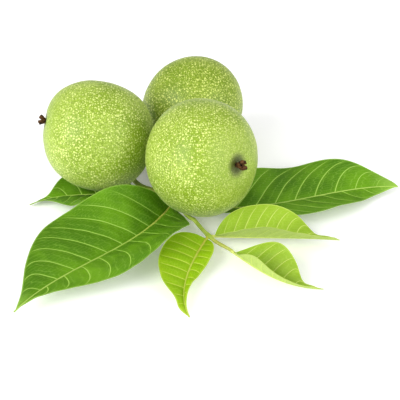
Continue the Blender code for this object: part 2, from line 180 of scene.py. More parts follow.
def tint(red, green, blue):
    """A colour given as display values from 0 to 255, as the linear one a shader takes."""
    share = np.array([red, green, blue]) / 255
    linear = np.where(share > 0.04045, ((share + 0.055) / 1.055) ** 2.4, share / 12.92)
    return (*(float(part) for part in linear), 1.0)


class Husk(NamedTuple):
    """The size and lie of one walnut in its husk, and its colours.

    tip_room is the distance in plan from its flank to the twig's tip. axis is the heading
    and tilt of its blossom end. fullness is the exponent of the superellipse on the
    blossom half and on the stalk half: 2 is an ellipse, more is squarer. lean moves the
    blossom end up and sideways across the axis. swell is an uneven shoulder: its height
    and the heading and tilt that it faces. rest is the height of its lowest point. tones
    are the fresh green, its lighter patches and the pores; they differ from nut to nut
    partly as their own colour and partly as painted light and shade.
    """

    half_length: float
    half_width: float
    tip_room: float
    axis: tuple
    fullness: tuple
    lean: tuple
    swell: tuple
    rest: float
    tones: tuple


# Each nut has its own copy of the husk's colours, partly its own tone and partly painted
# light: the back nut's darker tones are painted shade from the nuts before it, and the left
# nut's are a touch lighter as painted light.
HUSKS = {
    "front": Husk(0.0213, 0.0225, 0.0044, (-42, 13), (2.4, 2.1), (0.0006, 0.0025),
                  (0.0, 0, 0), 0.0013,
                  (tint(136, 166, 30), tint(162, 187, 66), tint(220, 232, 134))),
    "left": Husk(0.0217, 0.0215, 0.0049, (181, 18), (2.2, 2.2), (0.0006, -0.0007),
                 (0.0014, 157, 36), 0.0013,
                 (tint(136, 166, 30), tint(164, 190, 70), tint(222, 234, 138))),
    # Darker tones, partly as painted shade from the nuts before it.
    "back": Husk(0.0212, 0.0205, 0.0095, (68, 8), (1.9, 2.1), (0.0015, 0.0015),
                 (0.0, 0, 0), -0.0003,
                 (tint(124, 152, 24), tint(148, 172, 50), tint(212, 224, 118))),
}
FRONT_BEARING, BACK_BEARING = -58.5, 68.5       # of these nuts, from the twig's tip
NUT_GAP = 0.0001                # between the front and the left nut at their waists
SWELL_SPREAD = 30.0
BLOSSOM_DIMPLE = (0.0009, 0.0026)       # depth and radius round the stigma
STALK_DIMPLE = (0.0012, 0.0045)         # depth and radius round the stalk
PART_RINGS, PART_SEGMENTS = 18, 28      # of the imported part's husks
RINGS, SEGMENTS = 236, 360
PEBBLE_HEIGHT = 0.00007         # of the low lumps on the husk, which are 4 to 14 mm across
SEAM_DEPTH, SEAM_WIDTH, SEAM_TURN = 0.00006, 0.035, 0.5     # metres, radians, radians
PORE_SPACING = 0.00104          # between the breathing pores
# Round the stigma the husk darkens to olive: partly its dried scar, partly painted shade in
# the dimple there.
SCAR_AND_DIMPLE_SHADE, DRY_RIM = tint(56, 60, 16), tint(120, 140, 50)      # round the stigma, the stalk


def unit(vectors):
    """The vectors at length 1. The small term keeps a vector of no length harmless."""
    return vectors / (np.linalg.norm(vectors, axis=-1, keepdims=True) + 1e-12)


def round_turn(count):
    """This many even angles once round."""
    return np.linspace(0, 2 * math.pi, count, endpoint=False)


def direction(heading, tilt=0.0):
    """The unit vector at a heading in plan and a tilt above the level."""
    h, t = np.broadcast_arrays(np.radians(heading), np.radians(tilt))
    return np.stack([np.cos(t) * np.cos(h), np.cos(t) * np.sin(h), np.sin(t)], axis=-1)


def waves(points, shortest, longest, count, seed):
    """Smooth lumps, about -1 to 1, from plane waves of random heading and length.

    Their sum is divided by the square root of their number.
    """
    pick = np.random.default_rng(seed)
    headings = unit(pick.normal(size=(count, 3)))
    lengths = pick.uniform(shortest, longest, count)
    phases = pick.uniform(0, 2 * math.pi, count)
    total = np.zeros(points.shape[:-1])
    for heading, length, phase in zip(headings, lengths, phases):
        total += np.sin(points @ heading * (2 * math.pi / length) + phase)
    return total / math.sqrt(count)


class Nut:
    """One husk, as a surface round its axis from the stalk to the blossom end."""

    def __init__(self, name, husk):
        self.name = name
        self.husk = husk
        self.axis = direction(*husk.axis)
        self.up = unit(np.array([0.0, 0.0, 1.0]) - self.axis * self.axis[2])
        self.side = np.cross(self.axis, self.up)
        self.centre = np.zeros(3)
        polar, azimuth = np.meshgrid(np.radians(np.arange(0, 181, 3)),
                                     np.radians(np.arange(0, 360, 5)))
        self.centre[2] = husk.rest - self.surface(polar, azimuth)[..., 2].min()

    def swell(self, offsets):
        """The uneven shoulder: 1 + height / width x exp(-(angle / spread) squared)."""
        height, heading, tilt = self.husk.swell
        facing = unit(offsets) @ direction(heading, tilt)
        angle = np.degrees(np.arccos(np.clip(facing, -1, 1)))
        return 1 + height / self.husk.half_width * np.exp(-(angle / SWELL_SPREAD) ** 2)

    def surface(self, polar, azimuth):
        """Points of the husk, with polar 0 at the blossom end and pi at the stalk.

        The outline is the superellipse |along / half length| ^ f + |out / half width| ^ f
        = 1, turned round the axis, with a dimple at each end, then leant and swollen.
        """
        husk = self.husk
        fullness = np.where(polar < math.pi / 2, *husk.fullness)
        along = husk.half_length * np.sign(np.cos(polar)) * (
            np.abs(np.cos(polar)) ** (2 / fullness))
        out = husk.half_width * np.abs(np.sin(polar)) ** (2 / fullness)
        for end, (depth, radius) in ((1, BLOSSOM_DIMPLE), (-1, STALK_DIMPLE)):
            dimple = depth * np.exp(-(out / radius) ** 2) * (np.sign(np.cos(polar)) == end)
            along = along - end * dimple
        share = along / husk.half_length
        up = out * np.cos(azimuth) + husk.lean[0] * share
        side = out * np.sin(azimuth) + husk.lean[1] * share
        offsets = (along[..., None] * self.axis + up[..., None] * self.up
                   + side[..., None] * self.side)
        return self.centre + offsets * self.swell(offsets)[..., None]

    def push_out(self, points, room):
        """Moves points that are nearer the husk than room straight out from its centre."""
        husk = self.husk
        offsets = points - self.centre
        along = offsets @ self.axis
        share = np.clip(along / husk.half_length, -1, 1)
        up = offsets @ self.up - husk.lean[0] * share
        side = offsets @ self.side - husk.lean[1] * share
        fullness = np.where(along > 0, *husk.fullness)
        size = (np.abs(along / husk.half_length) ** fullness
                + (np.hypot(up, side) / husk.half_width) ** fullness) ** (1 / fullness)
        distance = np.linalg.norm(offsets, axis=-1)
        least = distance / size * self.swell(offsets) + room
        return self.centre + offsets * np.maximum(1, least / distance)[..., None]


def seat_nuts():
    """The three nuts round the twig's tip, and the twig's tip in the frame.

    Each nut stands at its bearing from the tip. The left one's bearing comes from the
    triangle whose third side is the two waists and the gap. The front nut, measured on
    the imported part's own rings and segments, then says where the tip is.
    """
    reach = {name: husk.half_width + husk.tip_room for name, husk in HUSKS.items()}
    apart = HUSKS["front"].half_width + HUSKS["left"].half_width + NUT_GAP
    opening = math.degrees(math.acos((reach["front"] ** 2 + reach["left"] ** 2 - apart ** 2)
                                     / (2 * reach["front"] * reach["left"])))
    bearings = {"front": FRONT_BEARING, "left": FRONT_BEARING - opening,
                "back": BACK_BEARING}
    nuts = {name: Nut(name, husk) for name, husk in HUSKS.items()}
    for name, nut in nuts.items():
        nut.centre[:2] = (reach[name] * direction(bearings[name]))[:2]
    polar, azimuth = np.meshgrid(np.linspace(0, math.pi, PART_RINGS + 1),
                                 round_turn(PART_SEGMENTS))
    rings = nuts["front"].surface(polar, azimuth).reshape(-1, 3)
    middle = (np.array(nut_low) + np.array(nut_high)) / 2
    shift = middle - (rings.min(axis=0) + rings.max(axis=0)) / 2
    shift[2] = 0.0
    for nut in nuts.values():
        nut.centre += shift
    return nuts, shift


def put_mesh(name, points, faces, material, attributes=()):
    """A smooth mesh from arrays of points and of three- or four-cornered faces."""
    mesh = bpy.data.meshes.new(name)
    faces = [np.asarray(group, np.int32) for group in faces if len(group)]
    corners = np.concatenate([group.ravel() for group in faces])
    sizes = np.concatenate([np.full(len(group), group.shape[1]) for group in faces])
    mesh.vertices.add(len(points))
    mesh.vertices.foreach_set("co", np.asarray(points, np.float32).ravel())
    mesh.loops.add(len(corners))
    mesh.loops.foreach_set("vertex_index", corners)
    mesh.polygons.add(len(sizes))
    mesh.polygons.foreach_set("loop_start", (np.cumsum(sizes) - sizes).astype(np.int32))
    mesh.update(calc_edges=True)
    for key, values in dict(attributes).items():
        if np.ndim(values) == 1:
            made = mesh.attributes.new(key, "FLOAT", "POINT")
            made.data.foreach_set("value", np.asarray(values, np.float32))
        else:
            made = mesh.attributes.new(key, "FLOAT_VECTOR", "POINT")
            made.data.foreach_set("vector", np.asarray(values, np.float32).ravel())
    mesh.shade_smooth()
    mesh.materials.append(material)
    mesh.validate()
    obj = bpy.data.objects.new(name, mesh)
    bpy.context.scene.collection.objects.link(obj)
    return obj


def ball_faces(rings, around):
    """Faces of a closed skin: pole, rings of equal count, pole, in that order of points."""
    index = 1 + np.arange(rings * around).reshape(rings, around)
    after = np.roll(index, -1, axis=1)
    quads = np.stack([index[:-1], index[1:], after[1:], after[:-1]], axis=-1).reshape(-1, 4)
    last = rings * around + 1
    first_fan = np.stack([np.zeros(around, int), index[0], after[0]], axis=-1)
    last_fan = np.stack([np.full(around, last), after[-1], index[-1]], axis=-1)
    return quads, np.concatenate([first_fan, last_fan])


def maths(tree, operation, *values):
    made = node(tree, "ShaderNodeMath", dict(enumerate(values)), operation=operation)
    return made.outputs[0]


def layers(tree, colour, *coats):
    """Lays coats over a colour: each is its mask, its strength and its own colour."""
    for mask, strength, over in coats:
        colour = mix(tree, maths(tree, "MULTIPLY", mask, strength), colour, over)
    return colour


def attribute(tree, name, output="Fac"):
    """A value or vector that a mesh carries at each of its points."""
    return node(tree, "ShaderNodeAttribute", attribute_name=name).outputs[output]


def shaken(tree, vector, scale, reach, detail):
    """The coordinates pushed about by a noise, so that a regular pattern looks grown."""
    wobble = node(tree, "ShaderNodeTexNoise", {"Vector": vector, "Scale": scale,
                                               "Detail": detail})
    shake = node(tree, "ShaderNodeVectorMath",
                 {0: wobble.outputs["Color"], "Scale": reach}, operation="SCALE")
    moved = node(tree, "ShaderNodeVectorMath", {0: vector, 1: shake.outputs[0]},
                 operation="ADD")
    return moved.outputs[0]


def new_group(name, inputs, outputs):
    """A node group with these sockets, and where its values come in and go out."""
    group = bpy.data.node_groups.new(name, "ShaderNodeTree")
    for socket, kind in inputs.items():
        group.interface.new_socket(socket, in_out="INPUT", socket_type=kind)
    for socket in outputs:
        group.interface.new_socket(socket, in_out="OUTPUT", socket_type="NodeSocketFloat")
    return (group, node(group, "NodeGroupInput").outputs,
            node(group, "NodeGroupOutput").inputs)


def bump(tree, height, distance, strength=1.0):
    """The normal of a relief whose height of 1 stands for the distance in metres."""
    made = node(tree, "ShaderNodeBump", {"Height": height, "Distance": distance,
                                         "Strength": strength})
    return made.outputs["Normal"]


def dots_group():
    """Scattered round dots of uneven size, one in each cell of a 3-D Voronoi pattern.

    A dot is 1 where the distance to the cell's point is under its radius, which runs
    from half the Size to the Size by the cell's own random number, with a soft edge.
    """
    group, given, result = new_group(
        "dots", {"Vector": "NodeSocketVector", "Scale": "NodeSocketFloat",
                 "Size": "NodeSocketFloat"}, ("Dots",))
    cells = node(group, "ShaderNodeTexVoronoi",
                 {"Vector": shaken(group, given["Vector"], 900.0, 0.00035, 1.0),
                  "Scale": given["Scale"], "Randomness": 0.72},
                 voronoi_dimensions="3D", feature="F1")
    chance = node(group, "ShaderNodeSeparateColor", {0: cells.outputs["Color"]})
    share = maths(group, "MULTIPLY_ADD", chance.outputs[0], 0.5, 0.5)
    radius = maths(group, "MULTIPLY", share, given["Size"])
    inner = maths(group, "MULTIPLY", radius, 0.68)
    group.links.new(step(group, cells.outputs["Distance"], radius, inner), result["Dots"])
    return group


dots = dots_group()


def use_dots(tree, vector, spacing, size):
    made = node(tree, "ShaderNodeGroup", {"Vector": vector, "Scale": 1 / spacing,
                                          "Size": size}, node_tree=dots)
    return made.outputs["Dots"]


def husk_material(name, green, light, pore):
    """Waxy green skin: pale pores over patchy green, finer by the stigma."""
    material, tree, shader = new_material(
        f"husk_{name}", 0.5, Specular_IOR_Level=0.46, Sheen_Weight=0.24,
        Sheen_Roughness=0.35, Sheen_Tint=tint(226, 236, 190))
    place = object_coordinates(tree)
    end = attribute(tree, "from_blossom")
    patches = step(tree, noise(tree, place, 85.0, 4.0), 0.36, 0.66)
    fine = step(tree, noise(tree, place, 1400.0, 3.0, 0.6), 0.36, 0.64)
    coarse = use_dots(tree, place, PORE_SPACING, 0.44)
    small = use_dots(tree, place, PORE_SPACING * 0.66, 0.50)
    near_blossom = step(tree, end, 0.95, 0.25)
    coarse = maths(tree, "MULTIPLY", coarse, step(tree, near_blossom, 0.0, 1.0, 1.0, 0.35))
    pores = maths(tree, "MAXIMUM", coarse, maths(tree, "MULTIPLY", small, 0.70))
    shade = tuple(part * 0.66 for part in green[:3]) + (1.0,)
    colour = layers(tree, mix(tree, patches, green, light), (fine, 0.75, shade),
                    (pores, 0.92, pore), (near_blossom, 0.25, light),
                    # The dark olive ring round the stigma is partly its dried scar and
                    # partly painted shade in its dimple.
                    (step(tree, end, 0.20, 0.06), 0.85, SCAR_AND_DIMPLE_SHADE),
                    (step(tree, end, 2.75, 3.05), 0.5, DRY_RIM))
    relief = maths(tree, "MULTIPLY_ADD", fine, 0.35, pores)
    roughness = step(tree, pores, 0.0, 1.0, 0.44, 0.56)
    link_shader(tree, shader, Base_Color=colour, Roughness=roughness,
                Normal=bump(tree, relief, 0.00006, 0.9))
    return material


def add_husk(nut):
    """The husk's surface with low lumps and a faint seam line on each side."""
    polar = np.linspace(0, math.pi, RINGS + 2)
    azimuth = round_turn(SEGMENTS)
    grid_polar, grid_azimuth = np.meshgrid(polar[1:-1], azimuth, indexing="ij")
    skin = nut.surface(grid_polar, grid_azimuth).reshape(-1, 3)
    poles = nut.surface(polar[[0, -1]], np.zeros(2))
    points = np.vstack([poles[:1], skin, poles[1:]])
    away = unit(points - nut.centre)
    angle = np.concatenate([[0.0], grid_azimuth.ravel(), [0.0]])
    ends = np.concatenate([polar[:1], grid_polar.ravel(), polar[-1:]])
    lumps = (0.65 * waves(points, 0.008, 0.014, 14, seed=3)
             + 0.35 * waves(points, 0.0035, 0.006, 30, seed=5))
    seam = np.exp(-(np.sin(angle - SEAM_TURN) / SEAM_WIDTH) ** 2) * np.sin(ends) ** 2
    points = points + away * (PEBBLE_HEIGHT * lumps - SEAM_DEPTH * seam)[:, None]
    points[:, 2] = np.maximum(points[:, 2], 0.0)
    husk = put_mesh(f"husk_{nut.name}", points, ball_faces(RINGS, SEGMENTS),
                    husk_material(nut.name, *nut.husk.tones), {"from_blossom": ends})
    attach(husk, "root")
    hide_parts(f"nut_{nut.name}")


nuts, shift = seat_nuts()
for nut in nuts.values():
    add_husk(nut)


# ---------------------------------------------------------------- stigmas
# The dried remains of the flower at each blossom end: a dark brown tuft about 4 mm high
# that splits into two ragged lobes, with a dark collar where it grows from the husk.

STIGMA_LENGTH = {"front": 0.0044, "left": 0.0034, "back": 0.0036}
STIGMA_LEAN = {"front": -0.0011, "left": 0.0, "back": 0.0004}     # sideways at its end
STIGMA_RADIUS = 0.0016
STIGMA_FLARE = (0.42, 1.10)     # width at its foot and at its end, as shares of that
STIGMA_LOBES = 0.42             # how far the two lobes stand out from round
STIGMA_COLLAR = (0.9, 0.12)     # extra width of its collar, and how high it reaches
STIGMA_IN_HUSK = 0.00012        # how deep the collar is sunk
STIGMA_RINGS, STIGMA_AROUND = 40, 64


def stigma_material():
    material, tree, shader = new_material("dried_stigma", 0.85, Specular_IOR_Level=0.2)
    place = object_coordinates(tree)
    # The lighter brown flecks are partly the dried tissue's own tone and partly painted
    # highlights.
    pale_flecks_and_highlights = step(tree, noise(tree, place, 900.0, 4.0), 0.35, 0.65)
    colour = mix(tree, pale_flecks_and_highlights, tint(15, 10, 4), tint(96, 64, 30))
    link_shader(tree, shader, Base_Color=colour,
                Roughness=step(tree, pale_flecks_and_highlights, 0.0, 1.0, 0.9, 0.6),
                Normal=bump(tree, noise(tree, place, 2200.0, 4.0), 0.0003))
    return material


def add_stigma(nut, material, seed):
    """A stub that flares into two lobes: radius x (1 + lobes x height x cos 2 azimuth).

    It is frayed by higher waves of the azimuth that grow with the height, and notched
    between the lobes at its top. It starts inside the husk with a low round collar.
    """
    foot, end = STIGMA_FLARE
    wide, high = STIGMA_COLLAR
    polar = np.linspace(math.pi, 0, STIGMA_RINGS + 2)[1:-1, None]
    azimuth = round_turn(STIGMA_AROUND)[None]
    height = (1 + np.cos(polar)) / 2
    radius = STIGMA_RADIUS * np.sin(polar) ** 0.5 * (foot + (end - foot) * height)
    radius = radius * (1 + STIGMA_LOBES * height * np.cos(2 * azimuth))
    frayed = (0.10 * np.sin(7 * azimuth + seed) + 0.08 * np.sin(12 * azimuth + 2 * seed)
              + 0.06 * np.sin(19 * azimuth + 9 * height))
    radius = radius * (1 + frayed * (0.3 + height))
    radius = radius * (1 + wide * np.exp(-(height / high) ** 2))
    notch = 1 - 0.28 * height ** 3 * (1 - np.cos(2 * azimuth)) - 0.05 * np.sin(9 * azimuth)
    rise = height * notch * STIGMA_LENGTH[nut.name]
    base = nut.surface(np.array(0.0), np.array(0.0)) - STIGMA_IN_HUSK * nut.axis
    skin = (base + rise[..., None] * nut.axis
            + (radius * np.cos(azimuth))[..., None] * nut.up
            + (radius * np.sin(azimuth) + STIGMA_LEAN[nut.name] * height ** 2)[..., None]
            * nut.side)
    top = base + rise[-1].mean() * nut.axis + STIGMA_LEAN[nut.name] * nut.side
    points = np.vstack([[base], skin.reshape(-1, 3), [top]])
    quads, fans = ball_faces(STIGMA_RINGS, STIGMA_AROUND)
    tuft = put_mesh(f"tuft_{nut.name}", points, (quads[:, ::-1], fans[:, ::-1]), material)
    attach(tuft, "root")
    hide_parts(f"stigma_{nut.name}")


dried = stigma_material()
for seed, nut in enumerate(nuts.values()):
    add_stigma(nut, dried, seed)


# ---------------------------------------------------------------- twig
# Last year's shoot: a woody stem with thin olive-brown bark, flecked with corky pores,
# cut across below and swollen at its tip. Two small side buds sit on swollen joints.

TWIG_RADIUS, TWIG_TIP_RADIUS = 0.0029, 0.0036
TWIG_CAP_TURNS = (15, 30, 45, 60, 70, 80, 86)       # rings of its rounded tip, in degrees
TWIG_STEPS, TWIG_AROUND = 40, 72        # between two points of its route, and round it
CUT_RINGS = np.array([0.25, 0.5, 0.75, 0.93])       # of the cut face, shares of its radius
CUT_BULGE = 0.008               # of the cut face at its middle, in steps of the route
KNOT_SWELL, KNOT_SPREAD = 0.10, 0.03    # shares of the radius and of the route, at a bud
STEM_REST = 0.00005             # least height of a stem's skin above the table
STEM_AROUND = 40                # points round a stalk
TWIG_ROUTE = ((-0.0265, 0.0405, 0.0030), (-0.0165, 0.0255, 0.0033),
              (-0.0080, 0.0115, 0.0055), (0.0000, 0.0000, 0.0095))
BUDS = ((0.16, 100), (0.45, 205))       # share of the route, degrees round the stem
BUD_LENGTH, BUD_RADIUS = 0.0042, 0.0015
BUD_RINGS = 24                  # along a bud, and points round each


def smooth_route(points, steps):
    """A Catmull-Rom curve through the points, with this many steps between each two."""
    points = np.array(points, float)
    ends = np.vstack([2 * points[0] - points[1], points, 2 * points[-1] - points[-2]])
    u = np.linspace(0, 1, steps, endpoint=False)[:, None]
    runs = []
    for a, b, c, d in zip(ends, ends[1:], ends[2:], ends[3:]):
        runs.append(0.5 * (2 * b + (c - a) * u + (2 * a - 5 * b + 4 * c - d) * u ** 2
                           + (3 * b - a - 3 * c + d) * u ** 3))
    return np.vstack([*runs, points[-1:]])


def carry_profile(path, radii, around):
    """Points of a profile carried along a path, with a pole at each end.

    The profile stands square to the path, with its first direction level and its second
    one up. radii gives its radius at each path point and angle.
    """
    along = unit(np.gradient(path, axis=0))
    level = unit(np.cross(along, [0.0, 0.0, 1.0]))
    rise = np.cross(level, along)
    angle = round_turn(around)
    radii = np.broadcast_to(radii, (len(path), around))
    skin = (path[:, None] + (radii * np.cos(angle))[..., None] * level[:, None]
            + (radii * np.sin(angle))[..., None] * rise[:, None])
    return np.vstack([path[:1], skin.reshape(-1, 3), path[-1:]])


def add_stem(name, path, radii, material, around=STEM_AROUND, attributes=()):
    """A closed round solid along a path that stays above the table."""
    points = carry_profile(path, radii, around)
    points[:, 2] = np.maximum(points[:, 2], STEM_REST)
    quads, fans = ball_faces(len(path), around)
    stem = put_mesh(name, points, (quads[:, ::-1], fans[:, ::-1]), material, attributes)
    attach(stem, "root")
    return stem


def bark_material():
    """Olive-brown bark with fine cracks along it, pale corky flecks and a cut end.

    The attribute cut is 0 on the bark and runs on the cut face from 0.1 at its rim to 1
    at the pith: green under-bark, pale wood in rings, brown pith.
    """
    material, tree, shader = new_material("walnut_bark", 0.78)
    place = object_coordinates(tree)
    cut = attribute(tree, "cut")
    turned = node(tree, "ShaderNodeMapping",
                  {"Vector": place, "Rotation": (0, 0, math.radians(58)),
                   "Scale": (0.35, 1.6, 1.2)}).outputs[0]
    cracks = step(tree, noise(tree, turned, 900.0, 5.0, 0.65), 0.38, 0.62)
    tone = step(tree, noise(tree, place, 140.0, 3.0), 0.35, 0.65)
    flecks = use_dots(tree, place, 0.0021, 0.34)
    rings = noise(tree, place, 1800.0, 2.0)
    wood = layers(tree, mix(tree, rings, tint(214, 200, 142), tint(190, 178, 112)),
                  (step(tree, cut, 0.30, 0.22), 1.0, tint(132, 150, 62)),
                  (step(tree, cut, 0.70, 0.78), 1.0, tint(120, 88, 54)))
    colour = layers(tree, mix(tree, tone, tint(92, 82, 48), tint(124, 114, 74)),
                    (cracks, 0.6, tint(70, 60, 38)), (flecks, 0.8, tint(178, 164, 122)),
                    (step(tree, cut, 0.02, 0.08), 1.0, wood))
    relief = maths(tree, "SUBTRACT", maths(tree, "MULTIPLY", flecks, 1.2), cracks)
    link_shader(tree, shader, Base_Color=colour, Normal=bump(tree, relief, 0.00012))
    return material


def twig_path():
    """The twig's middle line and radii, from its cut end to its rounded tip."""
    path = smooth_route(TWIG_ROUTE, TWIG_STEPS) + shift
    run = unit(path[-1] - path[-2])
    round_off = np.radians(TWIG_CAP_TURNS)
    share = np.linspace(0, 1, len(path))
    radii = TWIG_RADIUS + (TWIG_TIP_RADIUS - TWIG_RADIUS) * np.clip(share * 3 - 2, 0, 1)
    caps = path[-1] + np.outer(np.sin(round_off) * TWIG_TIP_RADIUS, run)
    return (np.vstack([path, caps]),
            np.append(radii, TWIG_TIP_RADIUS * np.cos(round_off)))


def add_twig(material):
    """The stem's tube with low ridges, a joint swelling at each bud and a cut face."""
    path, radii = twig_path()
    share = np.linspace(0, 1, len(path))
    angle = round_turn(TWIG_AROUND)
    for place, _ in BUDS:
        radii = radii * (1 + KNOT_SWELL * np.exp(-((share - place) / KNOT_SPREAD) ** 2))
    ridges = 1 + 0.012 * np.sin(5 * angle)[None] + 0.010 * np.sin(
        11 * angle[None] + 60 * share[:, None])
    skin = radii[:, None] * ridges
    face = path[:1] + CUT_BULGE * (1 - CUT_RINGS[:, None]) * (path[:1] - path[1:2])
    path = np.vstack([face, path])
    skin = np.vstack([CUT_RINGS[:, None] * skin[:1], skin])
    cut = np.zeros((len(path), TWIG_AROUND))
    cut[:len(face)] = (1.05 - CUT_RINGS)[:, None]
    twig = add_stem("twig_bark", path, skin, material, TWIG_AROUND,
                    {"cut": np.concatenate([[1.0], cut.ravel(), [0.0]])})
    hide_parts("twig")


def add_bud(number, share, turn, material):
    """A pointed bud that leans along the twig.

    Its radius goes with sin(pi x length ^ 0.6) ^ 0.8, and steps up and down in small
    scales that wind round it.
    """
    path, radii = twig_path()
    at = int(share * (len(path) - len(TWIG_CAP_TURNS) - 1))
    along = unit(path[at + 1] - path[at])
    level = unit(np.cross(along, [0.0, 0.0, 1.0]))
    out = (math.cos(math.radians(turn)) * level
           + math.sin(math.radians(turn)) * np.cross(level, along))
    foot = path[at] + 0.75 * radii[at] * out
    length = np.linspace(0.02, 0.995, BUD_RINGS)
    line = foot + np.outer(length * BUD_LENGTH, 0.80 * along + 0.60 * out)
    width = BUD_RADIUS * np.sin(math.pi * length ** 0.6) ** 0.8
    winding = 2 * round_turn(BUD_RINGS)[None] + 9 * length[:, None]
    scales = 1 + 0.07 * np.sign(np.sin(winding))
    bud = add_stem(f"bud_{number}", line, width[:, None] * scales, material, BUD_RINGS,
                   {"cut": np.zeros(BUD_RINGS * BUD_RINGS + 2)})


bark = bark_material()
add_twig(bark)
for number, (share, turn) in enumerate(BUDS):
    add_bud(number, share, turn, bark)


# ---------------------------------------------------------------- fruit stalks
# A short tough green stalk for each nut. It grows out of the twig's swollen tip, thickens
# on its way and ends in the dimple at the bottom of the husk.

STALK_START_RADIUS, STALK_END_RADIUS, STALK_BEND = 0.0010, 0.0019, 0.12
CLEARANCE = 0.0004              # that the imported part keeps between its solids
STALK_STEPS = 40
STALK_IN_TWIG = (0.0022, 0.0008)        # before its start, two more rings
STALK_IN_NUT = (-0.0002, 0.0006)        # and two about the bottom of the dimple
STALK_FOOT = (0.35, 0.08)       # extra width where it leaves the twig, and for how long


def stem_material(name, green, light, flush):
    """Fresh green stem: mottled, with small pores and a warm flush in places."""
    material, tree, shader = new_material(name, 0.5)
    place = object_coordinates(tree)
    tone = step(tree, noise(tree, place, 260.0, 4.0), 0.35, 0.65)
    warm = step(tree, noise(tree, place, 120.0, 2.0), 0.50, 0.70)
    pores = use_dots(tree, place, 0.0011, 0.30)
    colour = layers(tree, mix(tree, tone, green, light), (warm, 0.45, flush),
                    (pores, 0.5, tint(206, 210, 140)))
    relief = maths(tree, "ADD", pores, noise(tree, place, 2400.0, 3.0))
    link_shader(tree, shader, Base_Color=colour, Normal=bump(tree, relief, 0.00005))
    return material


def add_fruit_stalk(nut, material):
    """A tube on a bent line from inside the twig's tip to inside the nut's dimple."""
    tip = np.array(TWIG_ROUTE[-1]) + shift
    depth, radius = STALK_DIMPLE
    slope = math.hypot(*nut.husk.lean) / nut.husk.half_length
    seat = (CLEARANCE + depth * (1 - math.exp(-(STALK_END_RADIUS / radius) ** 2))
            + 2 * slope * STALK_END_RADIUS)
    bottom = nut.surface(np.array(math.pi), np.array(0.0))
    end = bottom - seat * nut.axis
    approach = end - STALK_BEND * np.linalg.norm(end - tip) * nut.axis
    away = unit(approach - tip)
    start = tip + (TWIG_TIP_RADIUS + 2 * CLEARANCE) * away
    u = np.linspace(0, 1, STALK_STEPS)[:, None]
    line = (1 - u) ** 2 * start + 2 * u * (1 - u) * approach + u ** 2 * end
    line = np.vstack([start - np.outer(STALK_IN_TWIG, away), line,
                      bottom + np.outer(STALK_IN_NUT, nut.axis)])
    share = np.clip(np.linspace(-0.05, 1.05, len(line)), 0, 1)
    radii = STALK_START_RADIUS + (STALK_END_RADIUS - STALK_START_RADIUS) * share
    wide, long = STALK_FOOT
    radii = radii * (1 + wide * np.exp(-(share / long) ** 2))
    angle = round_turn(STEM_AROUND)
    ridges = 1 + 0.03 * np.sin(6 * angle)[None] + 0.015 * np.sin(
        13 * angle[None] + 7 * share[:, None])
    stalk = add_stem(f"fruit_stalk_{nut.name}", line, radii[:, None] * ridges, material)
    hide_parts(f"stalk_{nut.name}")


fruit_stalk = stem_material("fruit_stalk", tint(118, 138, 56), tint(150, 166, 78),
                            tint(142, 126, 70))
for nut in nuts.values():
    add_fruit_stalk(nut, fruit_stalk)


# ---------------------------------------------------------------- rachis
# The leaf's main stalk. It leaves the twig with a swollen foot, runs under the nuts in
# the gap between them and the table, and carries three pairs of leaflets and a last one.

RACHIS_RADIUS, RACHIS_TIP_RADIUS = 0.0010, 0.0006
PETIOLE_JOINT, PETIOLE_START = 0.62, (205, -25)     # share of the twig; heading and tilt
PETIOLE_ROUTE = ((-0.0150, 0.0060, 0.0014), (-0.0120, -0.0030, 0.0013))
FIRST_PAIR = (-0.0065, -0.0095, 0.0018)
INTERNODES = (                  # length, heading, height at its end
    (0.0129, -35.5, 0.0018), (0.0322, -66.2, 0.0036), (0.0127, -47.5, 0.0030))
PART_STEPS, RACHIS_STEPS = 6, 30        # of a route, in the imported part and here
RACHIS_FOOT = (0.9, 0.06)       # extra width where it leaves the twig, and for how long
JOINT_SWELL, JOINT_SPREAD = 0.00028, 0.0016     # where a pair of leaflets grows
GROOVE_DEPTH, GROOVE_WIDTH = 0.16, 0.45         # share of the radius, radians


def leaf_nodes():
    """The places where leaflets grow, from the lowest pair to the last one."""
    nodes = [np.array(FIRST_PAIR)]
    for length, heading, height in INTERNODES:
        place = nodes[-1] + length * direction(heading)
        place[2] = height
        nodes.append(place)
    return [place + shift for place in nodes]


def press(points, room):
    """Keeps points this far from the nuts."""
    for nut in nuts.values():
        points = nut.push_out(points, room)
    return points


def rachis_line(steps):
    """The middle of the rachis, from the twig to the last leaflet."""
    twig = smooth_route(TWIG_ROUTE, PART_STEPS) + shift
    away = direction(*PETIOLE_START)
    joint = twig[round(PETIOLE_JOINT * (len(twig) - 1))]
    start = joint + (TWIG_RADIUS + 2 * CLEARANCE) * away
    route = [start, *(np.array(place) + shift for place in PETIOLE_ROUTE), *nodes]
    line = press(smooth_route(route, steps), RACHIS_RADIUS + CLEARANCE)
    return line, joint + 0.5 * TWIG_RADIUS * away


def rachis_radii(line):
    """Full size along its first half, then tapering to its tip."""
    share = np.clip(np.linspace(-1, 1, len(line)), 0, 1)
    return RACHIS_RADIUS + (RACHIS_TIP_RADIUS - RACHIS_RADIUS) * share


